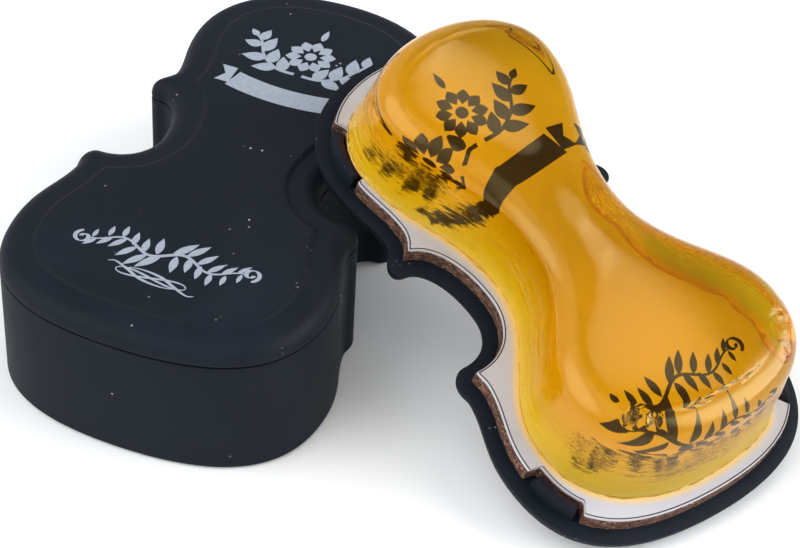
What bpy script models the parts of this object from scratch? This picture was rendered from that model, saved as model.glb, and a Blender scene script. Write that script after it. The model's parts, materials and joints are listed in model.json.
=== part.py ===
"""Violin rosin: one closed violin-shaped box, and one opened lid whose rosin cake leans on it.

The box stands on its base with its long axis along +Y and the middle of its base at the origin.
Its lid carries a card, a backing board and a rosin cake that hang down inside the deep body. A second
lid of the same moulding lies upside down against it with its own cake on top: its lower end rests on
the floor and its underside rests on the rim of the closed lid.

Every lid stack is drawn in the same local frame: z = 0 is the parting plane where the lid meets the
deep body, +z points to the cake and -z to the outer face. All sizes are metres.
"""
import math

import bmesh
import bpy
import numpy as np
from mathutils import Matrix, Vector

# ---- plan outline of the mouldings, half of it, from the lower end to the upper end ----
CASE_LENGTH = 0.080
LOWER_BOUT_WIDTH = 0.0461
LOWER_BOUT_Y = -0.0230
UPPER_BOUT_WIDTH = 0.0376
UPPER_BOUT_Y = 0.0250
WAIST_WIDTH = 0.0248
WAIST_Y = -0.0008
LOWER_CORNER_WIDTH = 0.0416      # across the outsides of the two lower corners
LOWER_CORNER_Y = -0.0091
LOWER_CORNER_ROUND = 0.0023
LOWER_CORNER_DEPTH = 0.002484    # along the case, from the corner's outside to where the waist starts
LOWER_NECK_WIDTH = 0.0410        # where the bout pinches in before the corner
LOWER_NECK_Y = -0.0109
UPPER_CORNER_WIDTH = 0.0380
UPPER_CORNER_Y = 0.0103
UPPER_CORNER_ROUND = 0.0019
UPPER_CORNER_DEPTH = 0.001653
UPPER_NECK_WIDTH = 0.0343
UPPER_NECK_Y = 0.0140
CASE_SWEEPS = {                  # each curve's two headings in degrees, and its two pulls
    "lower_end": (0, 90, 0.57, 0.39),
    "lower_bout": (90, 95, 0.43, 0.35),
    "lower_neck": (78, 90, 0.40, 0.40),
    "lower_corner": (90, 180, 0.39, 0.39),
    "lower_waist": (180, 90, 0.54, 0.26),
    "upper_waist": (90, 0, 0.53, 0.23),
    "upper_corner": (0, 90, 0.42, 0.42),
    "upper_neck": (90, 90, 0.38, 0.35),
    "upper_bout": (90, 90, 0.30, 0.45),
    "upper_end": (90, 180, 0.37, 0.48),
}

# ---- deep body ----
BODY_HEIGHT = 0.0184
BODY_WALL = 0.0017
BODY_FLOOR = 0.0014
BASE_EDGE_RADIUS = 0.0008

# ---- lid moulding, the same for the closed and the opened lid ----
LID_THICKNESS = 0.0028
LID_EDGE_RADIUS = 0.0025
LID_EDGE_TURNS = (90, 62, 34)    # degrees round the edge at which the mesh has a ring
PANEL_INSET = 0.0042             # the raised panel follows the outline at this distance
PANEL_RISE = 0.0004
PANEL_SLOPE = 0.0004
POCKET_INSET = 0.0050            # shallow pocket behind the backing board
POCKET_DEPTH = 0.0012

# ---- snap tabs: they rise from the lid inside the body's wall ----
TAB_HEIGHT = 0.0023
TAB_THICKNESS = 0.0015
TAB_CHAMFER = 0.0003
LOWER_TAB_START = 0.0070         # from the case's lower end
LOWER_TAB_LENGTH = 0.0082
UPPER_TAB_START = 0.0068         # from the case's upper end
UPPER_TAB_LENGTH = 0.0096
NOTCH_CLEARANCE = 0.0004         # between a tab's end and the notch in board and card
NOTCH_RAMP = 0.0005

# ---- what the lid carries ----
GAP = 0.0003                     # between pieces that rest on each other
BOARD_THICKNESS = 0.0014
CARD_THICKNESS = 0.0004
CARD_MARGIN = 0.0002             # the card stops this far inside the board

# ---- rosin cake: it follows the case's outline at these distances, and hangs clear of its floor ----
CAKE_LOWER_END_INSET = 0.0043
CAKE_UPPER_END_INSET = 0.0041
CAKE_LOWER_INSET = 0.00365
CAKE_LOWER_Y = -0.0220
CAKE_WAIST_INSET = 0.0032
CAKE_WAIST_Y = 0.0012
CAKE_UPPER_INSET = 0.0032
CAKE_UPPER_Y = 0.0242
CAKE_SWEEPS = {
    "lower_end": (0, 90, 0.60, 0.30),
    "lower_side": (90, 90, 0.40, 0.42),
    "upper_side": (90, 90, 0.42, 0.38),
    "upper_end": (90, 180, 0.36, 0.46),
}
CAKE_FLOOR_CLEARANCE = 0.0003
CAKE_ASKEW = math.radians(1.7)    # the opened cake was set down turned this much on its card
CAKE_DRAFT = 0.0014              # how far the sides lean in over their height
CAKE_DRAFT_HALFWAY = 0.00063
CAKE_SHOULDER_RADIUS = 0.0038
CAKE_SHOULDER_TURNS = (0, 25, 50, 75)
CAKE_CROWN = 0.0006              # the top rises this much from the shoulders to the middle
CAKE_CROWN_INSET = 0.0012
CAKE_SADDLE = 0.0009             # the top dips this much over the waist
CAKE_SADDLE_REACH = 0.0085

# ---- how the opened lid leans ----
OPENED_X = 0.0449
OPENED_Y = -0.0002
OPENED_HEADING = math.radians(58.2)  # its long axis, turned from +Y towards -X
LEAN_RANGE = (math.radians(2), math.radians(60))
LEAN_TRIES = 40
FACE_STEPS = 24                  # rings of points that stand for the outer face

# ---- how finely the meshes are made ----
CURVE_STEPS = {"end": 9, "bout": 5, "neck": 1, "corner": 4, "waist": 6}
MERGE_DISTANCE = 2e-5
SMALLEST_EDGE = 1e-6
ROUNDING = 1e-7
FOLD_TOLERANCE = 0.97            # a point nearer to its loop than this share of its inset has folded
SHARP_ANGLE = math.radians(32)

CAKE_BASE = 3 * GAP + BOARD_THICKNESS + CARD_THICKNESS
CAKE_HEIGHT = BODY_HEIGHT + GAP - BODY_FLOOR - CAKE_FLOOR_CLEARANCE - CAKE_BASE
TAB_SPANS = (
    (LOWER_TAB_START - CASE_LENGTH / 2, LOWER_TAB_START + LOWER_TAB_LENGTH - CASE_LENGTH / 2),
    (CASE_LENGTH / 2 - UPPER_TAB_START - UPPER_TAB_LENGTH, CASE_LENGTH / 2 - UPPER_TAB_START),
)

BLACK_PLASTIC = ("black soft-touch plastic", (0.021, 0.027, 0.037), 0.5)
BROWN_BOARD = ("brown backing board", (0.115, 0.052, 0.030), 0.85)
WHITE_CARD = ("white card", (0.78, 0.78, 0.84), 0.6)
AMBER_ROSIN = ("amber rosin", (0.72, 0.33, 0.02), 0.12)


def clear_scene():
    for item in list(bpy.data.objects):
        bpy.data.objects.remove(item, do_unlink=True)


def material(finish):
    name, colour, roughness = finish
    found = bpy.data.materials.get(name)
    if found:
        return found
    made = bpy.data.materials.new(name)
    made.use_nodes = True
    shader = made.node_tree.nodes["Principled BSDF"]
    shader.inputs["Base Color"].default_value = (*colour, 1.0)
    shader.inputs["Roughness"].default_value = roughness
    shader.inputs["Metallic"].default_value = 0.0
    return made


# ---------------------------------------------------------------- outlines
def curve(start, end, sweep, steps):
    """Cubic curve without its first point. A sweep is two headings in degrees and two chord shares."""
    start, end = Vector(start), Vector(end)
    start_heading, end_heading, start_pull, end_pull = sweep
    chord = (end - start).length
    out = Vector((math.cos(math.radians(start_heading)), math.sin(math.radians(start_heading))))
    into = Vector((math.cos(math.radians(end_heading)), math.sin(math.radians(end_heading))))
    first = start + out * chord * start_pull
    second = end - into * chord * end_pull
    points = []
    for step in range(1, steps + 1):
        t = step / steps
        s = 1.0 - t
        points.append(start * s ** 3 + first * 3 * s * s * t + second * 3 * s * t * t + end * t ** 3)
    return points


def close_half(half):
    """Mirrors a half outline, whose two ends lie on the axis, into one closed loop."""
    return half + [Vector((-point.x, point.y)) for point in half[-2:0:-1]]


def with_stations(half, stations):
    """Adds a point at each given y. The half outline never turns back in y."""
    points = list(half)
    for y in stations:
        for index in range(len(points) - 1):
            low, high = points[index], points[index + 1]
            if low.y < y < high.y and min(y - low.y, high.y - y) > SMALLEST_EDGE:
                points.insert(index + 1, low.lerp(high, (y - low.y) / (high.y - low.y)))
                break
    return points


def case_half():
    """Half of the outline of box and lids, from the lower end to the upper end."""
    end = CASE_LENGTH / 2
    lower_in = (LOWER_CORNER_WIDTH / 2 - LOWER_CORNER_ROUND, LOWER_CORNER_Y + LOWER_CORNER_DEPTH)
    upper_in = (UPPER_CORNER_WIDTH / 2 - UPPER_CORNER_ROUND, UPPER_CORNER_Y - UPPER_CORNER_DEPTH)
    places = (("lower_end", (LOWER_BOUT_WIDTH / 2, LOWER_BOUT_Y), "end"),
              ("lower_bout", (LOWER_NECK_WIDTH / 2, LOWER_NECK_Y), "bout"),
              ("lower_neck", (LOWER_CORNER_WIDTH / 2, LOWER_CORNER_Y), "neck"),
              ("lower_corner", lower_in, "corner"),
              ("lower_waist", (WAIST_WIDTH / 2, WAIST_Y), "waist"),
              ("upper_waist", upper_in, "waist"),
              ("upper_corner", (UPPER_CORNER_WIDTH / 2, UPPER_CORNER_Y), "corner"),
              ("upper_neck", (UPPER_NECK_WIDTH / 2, UPPER_NECK_Y), "corner"),
              ("upper_bout", (UPPER_BOUT_WIDTH / 2, UPPER_BOUT_Y), "bout"),
              ("upper_end", (0, end), "end"))
    half = [Vector((0.0, -end))]
    for sweep, place, steps in places:
        half += curve(half[-1], place, CASE_SWEEPS[sweep], CURVE_STEPS[steps])
    return half


def cake_half():
    """Half of the cake's outline, at its distances from the case's."""
    places = (("lower_end", (LOWER_BOUT_WIDTH / 2 - CAKE_LOWER_INSET, CAKE_LOWER_Y)),
              ("lower_side", (WAIST_WIDTH / 2 - CAKE_WAIST_INSET, CAKE_WAIST_Y)),
              ("upper_side", (UPPER_BOUT_WIDTH / 2 - CAKE_UPPER_INSET, CAKE_UPPER_Y)),
              ("upper_end", (0, CASE_LENGTH / 2 - CAKE_UPPER_END_INSET)))
    half = [Vector((0.0, CAKE_LOWER_END_INSET - CASE_LENGTH / 2))]
    for sweep, place in places:
        half += curve(half[-1], place, CAKE_SWEEPS[sweep], CURVE_STEPS["waist"])
    return half


def tab_stations():
    stations = []
    for low, high in TAB_SPANS:
        stations += [low, high, low - NOTCH_CLEARANCE, high + NOTCH_CLEARANCE]
        stations += [low - NOTCH_CLEARANCE - NOTCH_RAMP, high + NOTCH_CLEARANCE + NOTCH_RAMP]
    return stations


def distances_to_loop(points, loop):
    """Distance of each point to the closed loop, as an array."""
    points = np.array([tuple(point) for point in points])[:, None, :]
    starts = np.array([tuple(point) for point in loop])
    edges = np.roll(starts, -1, axis=0) - starts
    along = ((points - starts) * edges).sum(2) / (edges ** 2).sum(1)
    nearest = starts + np.clip(along, 0.0, 1.0)[..., None] * edges
    return np.sqrt(((points - nearest) ** 2).sum(2)).min(1)


def inset_loop(loop, inset):
    """Moves a counter-clockwise loop inwards by one distance, or by one distance per point.

    Points that fold over each other at a tight corner all move to the corner that is left there, so
    every inset of a loop has the same number of points.
    """
    count = len(loop)
    depths = inset if isinstance(inset, list) else [inset] * count
    moved = []
    for index, point in enumerate(loop):
        ahead = (loop[(index + 1) % count] - point).normalized()
        along = (ahead + (point - loop[index - 1]).normalized()).normalized()
        moved.append(point + Vector((-along.y, along.x)) * depths[index])
    clear = distances_to_loop(moved, loop) >= np.array(depths) * FOLD_TOLERANCE - ROUNDING
    anchors = [index for index in range(count) if clear[index]]
    for this, following in zip(anchors, anchors[1:] + [anchors[0] + count]):
        corner = moved[this % count].lerp(moved[following % count], 0.5)
        for index in range(this + 1, following):
            moved[index % count] = corner
    return moved


def notched_inset(loop, inset, notch):
    """The inset of a loop, deepened to notch beside each snap tab."""
    depths = []
    for point in loop:
        outside = min(max(low - point.y, point.y - high) for low, high in TAB_SPANS)
        share = (NOTCH_CLEARANCE + NOTCH_RAMP - outside) / NOTCH_RAMP
        depths.append(inset + (notch - inset) * min(1.0, max(0.0, share)))
    return inset_loop(loop, depths)


# ---------------------------------------------------------------- meshes
def ring(loop, z):
    """Lifts a loop to height z, or to one height per point."""
    heights = z if isinstance(z, list) else [z] * len(loop)
    return [Vector((point.x, point.y, height)) for point, height in zip(loop, heights)]


def skin_rings(rings, ladder_top=False):
    """Skins rings that have the same number of points, and caps the first and the last.

    Returns the mesh, its rows of points and its strips of side faces. A ladder cap joins each left
    point to its mirror point, which keeps a curved top smooth.
    """
    mesh = bmesh.new()
    rows = [[mesh.verts.new(point) for point in points] for points in rings]
    count = len(rows[0])
    strips = []
    for low, high in zip(rows, rows[1:]):
        strips.append([mesh.faces.new((low[index], low[(index + 1) % count],
                                       high[(index + 1) % count], high[index]))
                       for index in range(count)])
    mesh.faces.new(rows[0])
    if ladder_top:
        top = rows[-1]
        for index in range(count // 2):
            corners = (top[index], top[index + 1], top[-index - 1], top[-index % count])
            mesh.faces.new([corner for place, corner in enumerate(corners)
                            if corner not in corners[:place]])
    else:
        mesh.faces.new(rows[-1])
    bmesh.ops.recalc_face_normals(mesh, faces=mesh.faces)
    return mesh, rows, strips


def finished(name, mesh):
    """Merges folded points and turns the working mesh into mesh data."""
    bmesh.ops.remove_doubles(mesh, verts=mesh.verts, dist=MERGE_DISTANCE)
    bmesh.ops.dissolve_degenerate(mesh, edges=mesh.edges, dist=SMALLEST_EDGE)
    bmesh.ops.recalc_face_normals(mesh, faces=mesh.faces)
    data = bpy.data.meshes.new(name)
    mesh.to_mesh(data)
    mesh.free()
    return data


def add_object(name, data, finish, parent=None):
    made = bpy.data.objects.new(name, data)
    bpy.context.scene.collection.objects.link(made)
    made.data.materials.append(material(finish))
    made.data.shade_smooth()
    made.data.set_sharp_from_angle(angle=SHARP_ANGLE)
    made.parent = parent
    return made


def add_empty(name, matrix):
    made = bpy.data.objects.new(name, None)
    bpy.context.scene.collection.objects.link(made)
    made.matrix_world = matrix
    return made


# ---------------------------------------------------------------- pieces
def body_mesh(outline):
    """The deep body: a rounded base edge, an upright wall and a flat floor."""
    radius = BASE_EDGE_RADIUS
    ease = radius * (1 - math.sqrt(0.5))
    rings = [ring(inset_loop(outline, radius), 0.0),
             ring(inset_loop(outline, ease), ease),
             ring(outline, radius),
             ring(outline, BODY_HEIGHT),
             ring(inset_loop(outline, BODY_WALL), BODY_HEIGHT),
             ring(inset_loop(outline, BODY_WALL), BODY_FLOOR)]
    return finished("box_body", skin_rings(rings)[0])


def raise_tab(mesh, faces, pairs):
    """Puts one snap tab in the place of a run of faces. Its two long top edges are chamfered.

    The pairs are the outer and the inner point of the run at each station along it.
    """
    bmesh.ops.delete(mesh, geom=faces, context="FACES")
    side = Vector((0.0, 0.0, TAB_HEIGHT - TAB_CHAMFER))
    top = Vector((0.0, 0.0, TAB_HEIGHT))
    ease = TAB_CHAMFER / TAB_THICKNESS
    profiles = []
    for outer, inner in pairs:
        raised = (outer.co + side, outer.co.lerp(inner.co, ease) + top,
                  outer.co.lerp(inner.co, 1 - ease) + top, inner.co + side)
        profiles.append([outer, *(mesh.verts.new(point) for point in raised), inner])
    for this, following in zip(profiles, profiles[1:]):
        for index in range(len(this) - 1):
            mesh.faces.new((this[index], this[index + 1], following[index + 1], following[index]))
    mesh.faces.new(profiles[0])
    mesh.faces.new(profiles[-1])


def lid_mesh(name, outline):
    """The lid moulding in the stack's frame, outer face down, with its snap tabs."""
    face = -LID_THICKNESS
    centre = face + LID_EDGE_RADIUS
    rings = [ring(inset_loop(outline, PANEL_INSET + PANEL_SLOPE), face - PANEL_RISE),
             ring(inset_loop(outline, PANEL_INSET), face)]
    for angle in LID_EDGE_TURNS:
        turn = math.radians(angle)
        rings.append(ring(inset_loop(outline, LID_EDGE_RADIUS * (1 - math.cos(turn))),
                          centre - LID_EDGE_RADIUS * math.sin(turn)))
    rings += [ring(outline, centre), ring(outline, 0.0),
              ring(inset_loop(outline, BODY_WALL + GAP), 0.0)]
    tab_strip = len(rings) - 1
    rings += [ring(inset_loop(outline, BODY_WALL + GAP + TAB_THICKNESS), 0.0),
              ring(inset_loop(outline, POCKET_INSET), 0.0),
              ring(inset_loop(outline, POCKET_INSET), -POCKET_DEPTH)]
    mesh, rows, strips = skin_rings(rings)
    for low, high in TAB_SPANS:
        for side in (1, -1):
            run = [index for index, point in enumerate(outline)
                   if low - ROUNDING <= point.y <= high + ROUNDING and point.x * side > 0]
            raise_tab(mesh, [strips[tab_strip][index] for index in run[:-1]],
                      [(rows[tab_strip][index], rows[tab_strip + 1][index]) for index in run])
    return finished(name, mesh)


def pad_mesh(name, outline, margin, low, high):
    """A flat board or card between two heights, notched beside the snap tabs."""
    inset = BODY_WALL + GAP + margin
    notch = BODY_WALL + GAP + TAB_THICKNESS + GAP + margin
    loop = notched_inset(outline, inset, notch)
    return finished(name, skin_rings([ring(loop, low), ring(loop, high)])[0])


def cake_mesh(name, outline):
    """The rosin cake: leaning sides, rounded shoulders, and a top that dips over the waist."""
    def dip(loop, strength):
        return [CAKE_SADDLE * strength * math.exp(-((point.y - CAKE_WAIST_Y) / CAKE_SADDLE_REACH) ** 2)
                for point in loop]

    shoulder = CAKE_BASE + CAKE_HEIGHT - CAKE_CROWN - CAKE_SHOULDER_RADIUS
    rings = [ring(outline, CAKE_BASE),
             ring(inset_loop(outline, CAKE_DRAFT_HALFWAY), (CAKE_BASE + shoulder) / 2)]
    for angle in CAKE_SHOULDER_TURNS:
        turn = math.radians(angle)
        loop = inset_loop(outline, CAKE_DRAFT + CAKE_SHOULDER_RADIUS * (1 - math.cos(turn)))
        height = shoulder + CAKE_SHOULDER_RADIUS * math.sin(turn)
        rings.append(ring(loop, [height - fall for fall in dip(loop, math.sin(turn))]))
    loop = inset_loop(outline, CAKE_DRAFT + CAKE_SHOULDER_RADIUS + CAKE_CROWN_INSET)
    rings.append(ring(loop, [CAKE_BASE + CAKE_HEIGHT - fall for fall in dip(loop, 1.0)]))
    return finished(name, skin_rings(rings, ladder_top=True)[0])


def askew_loop(loop, angle):
    """A cake's outline turned about the middle of its upper bout."""
    middle = Vector((0.0, CAKE_UPPER_Y))
    turn = Matrix.Rotation(angle, 2)
    return [middle + turn @ (point - middle) for point in loop]


def lid_stack(prefix, lid_name, parent, outline, askew):
    """One lid with its snap tabs, and the board, card and cake stuck to it."""
    add_object(lid_name, lid_mesh(lid_name, outline), BLACK_PLASTIC, parent)
    board_low = GAP
    board_high = board_low + BOARD_THICKNESS
    card_low = board_high + GAP
    card_high = card_low + CARD_THICKNESS
    add_object(prefix + "backing_board",
               pad_mesh(prefix + "backing_board", outline, 0.0, board_low, board_high),
               BROWN_BOARD, parent)
    add_object(prefix + "printed_card",
               pad_mesh(prefix + "printed_card", outline, CARD_MARGIN, card_low, card_high),
               WHITE_CARD, parent)
    add_object(prefix + "rosin_cake",
               cake_mesh(prefix + "rosin_cake", askew_loop(close_half(cake_half()), askew)),
               AMBER_ROSIN, parent)


# ---------------------------------------------------------------- leaning pose
def outer_face_depth(inset):
    """How far the lid's outer face lies behind the parting plane, at a distance from its outline."""
    inset = np.maximum(inset, 0.0)
    across = np.clip(LID_EDGE_RADIUS - inset, 0.0, LID_EDGE_RADIUS)
    depth = LID_THICKNESS - LID_EDGE_RADIUS + np.sqrt(LID_EDGE_RADIUS ** 2 - across ** 2)
    rise = np.clip((inset - PANEL_INSET) / PANEL_SLOPE, 0.0, 1.0)
    return depth + PANEL_RISE * rise


def outer_face_points(outline):
    """Points over the lid's outer face, as (x, y, depth) rows."""
    rows = []
    for step in range(FACE_STEPS):
        inset = (PANEL_INSET + 2 * PANEL_SLOPE) * step / (FACE_STEPS - 1)
        loop = inset_loop(outline, inset)
        depth = float(outer_face_depth(np.array([inset]))[0])
        rows += [(point.x, point.y, depth) for point in loop]
    return np.array(rows)


def leaning_matrix(tilt, face):
    """The stack's frame at a tilt, with its outer face just clear of the floor."""
    turn = Matrix.Rotation(OPENED_HEADING, 4, "Z") @ Matrix.Rotation(tilt, 4, "X")
    spin = np.array(turn.to_3x3())
    lowest = (np.column_stack([face[:, 0], face[:, 1], -face[:, 2]]) @ spin.T)[:, 2].min()
    return Matrix.Translation((OPENED_X, OPENED_Y, GAP - lowest)) @ turn


def inside_loop(points, loop):
    """Even-odd test of each (x, y) row against the closed loop."""
    x, y = points[:, 0][:, None], points[:, 1][:, None]
    start = np.array([tuple(point) for point in loop])
    end = np.roll(start, -1, axis=0)
    spans = (start[:, 1] > y) != (end[:, 1] > y)
    rise = np.where(end[:, 1] == start[:, 1], 1.0, end[:, 1] - start[:, 1])
    crossing = start[:, 0] + (y - start[:, 1]) * (end[:, 0] - start[:, 0]) / rise
    return (spans & (x < crossing)).sum(1) % 2 == 1


def leaning_pose(outline):
    """Raises the opened lid until its underside just clears the rim of the closed lid."""
    face = outer_face_points(outline)
    parting = BODY_HEIGHT + GAP
    rim = np.column_stack([face[:, 0], face[:, 1], parting + face[:, 2]])
    low, high = LEAN_RANGE
    for _ in range(LEAN_TRIES):
        tilt = (low + high) / 2
        matrix = leaning_matrix(tilt, face)
        local = rim @ np.array(matrix.inverted().to_3x3()).T + np.array(matrix.inverted().translation)
        local = local[inside_loop(local[:, :2], outline)]
        depth = outer_face_depth(distances_to_loop([Vector(row[:2]) for row in local], outline))
        clearance = (-depth - local[:, 2]).min(initial=1.0)
        low, high = (low, tilt) if clearance > GAP else (tilt, high)
    return leaning_matrix(high, face)


def main():
    clear_scene()
    outline = close_half(with_stations(case_half(), tab_stations()))
    add_object("box_body", body_mesh(outline), BLACK_PLASTIC)
    flip = Matrix.Translation((0, 0, BODY_HEIGHT + GAP)) @ Matrix.Rotation(math.pi, 4, "Y")
    lid_stack("boxed_", "box_lid", add_empty("box_lid_lift", flip), outline, 0.0)
    lid_stack("", "opened_lid", add_empty("opened_lid_lift", leaning_pose(outline)), outline, CAKE_ASKEW)
    bpy.context.view_layer.update()


main()
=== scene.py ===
"""Violin rosin: a closed, violin-shaped box, and an opened lid with its amber rosin cake leaning on it.

Everything is in metres. A lid and what is stuck to it are drawn in one stack frame: z = 0 is the
parting plane where the lid meets the deep body, +z points to the rosin cake and -z out of the lid's
printed face. Two poses carry that frame into place: turned over on top of the closed box, and leaning
on the box beside it.
"""
from __future__ import annotations

import json
import logging
import math
from dataclasses import dataclass, field
from enum import Enum
from typing import Any, Callable, Sequence

import bmesh
import bpy
import numpy as np
from mathutils import Matrix, Vector, noise


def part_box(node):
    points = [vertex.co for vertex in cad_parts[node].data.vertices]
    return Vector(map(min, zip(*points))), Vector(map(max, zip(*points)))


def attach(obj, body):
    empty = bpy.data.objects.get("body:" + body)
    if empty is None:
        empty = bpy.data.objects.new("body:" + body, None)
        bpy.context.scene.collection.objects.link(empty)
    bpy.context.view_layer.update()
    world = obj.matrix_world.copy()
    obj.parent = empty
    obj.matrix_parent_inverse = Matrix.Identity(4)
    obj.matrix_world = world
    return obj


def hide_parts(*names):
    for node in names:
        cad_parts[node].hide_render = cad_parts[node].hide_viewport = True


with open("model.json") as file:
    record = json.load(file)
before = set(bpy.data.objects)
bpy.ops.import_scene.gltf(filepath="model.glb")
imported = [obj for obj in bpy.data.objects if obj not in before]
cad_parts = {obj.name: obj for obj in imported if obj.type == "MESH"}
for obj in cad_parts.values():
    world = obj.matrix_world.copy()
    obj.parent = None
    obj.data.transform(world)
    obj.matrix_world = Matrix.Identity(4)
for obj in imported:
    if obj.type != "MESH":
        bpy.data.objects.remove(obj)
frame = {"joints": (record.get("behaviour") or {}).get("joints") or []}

LOG = logging.getLogger("violin_rosin")
MILLIMETRE = 0.001
GAP = 0.0003  # the glue line and the parting line of the CAD model
MERGE = 2e-6  # points of a closed piece that are closer than this are one point
PLACE = "place"  # the mesh attribute that keeps where each point was drawn

Colour = tuple[float, float, float]
Triple = tuple[float, float, float]
Faces = list[tuple[int, ...]]


def eased(share: Any) -> Any:
    """A share from 0 to 1, or an array of them, with a smooth start and end."""
    return share * share * (3 - 2 * share)


# ------------------------------------------------------------------------------------ shader maths
class Reading:
    """A value socket of a finish that can be used in arithmetic."""

    def __init__(self, recipe: Recipe, socket: bpy.types.NodeSocket) -> None:
        """Keeps the socket.

        Args:
            recipe: The recipe whose node tree the socket belongs to.
            socket: The output socket that holds the value.
        """
        self.recipe = recipe
        self.socket = socket

    def _maths(self, operation: str, first: Any, second: Any) -> Reading:
        """Adds one Math node.

        Args:
            operation: The node's operation.
            first: The first value.
            second: The second value.

        Returns:
            The node's result.
        """
        return self.recipe.node("ShaderNodeMath", {"operation": operation}, {0: first, 1: second})

    def __add__(self, other: Reading | float) -> Reading:
        """Adds the other value."""
        return self._maths("ADD", self, other)

    __radd__ = __add__

    def __sub__(self, other: Reading | float) -> Reading:
        """Takes the other value away."""
        return self._maths("SUBTRACT", self, other)

    def __rsub__(self, other: Reading | float) -> Reading:
        """Takes this value away from the other."""
        return self._maths("SUBTRACT", other, self)

    def __mul__(self, other: Reading | float) -> Reading:
        """Multiplies by the other value."""
        return self._maths("MULTIPLY", self, other)

    __rmul__ = __mul__

    def __gt__(self, other: Reading | float) -> Reading:
        """1 where this value is the larger."""
        return self._maths("GREATER_THAN", self, other)

    def within(self, low: float, high: float, start: float = 0.0, end: float = 1.0) -> Reading:
        """Maps this value smoothly from one range to another, and holds it at the ends.

        Args:
            low: The value that gives start.
            high: The value that gives end.
            start: The result at low.
            end: The result at high.

        Returns:
            The mapped value.
        """
        settings = {"interpolation_type": "SMOOTHSTEP"}
        values = {"Value": self, "From Min": low, "From Max": high, "To Min": start, "To Max": end}
        return self.recipe.node("ShaderNodeMapRange", settings, values, output="Result")


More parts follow.
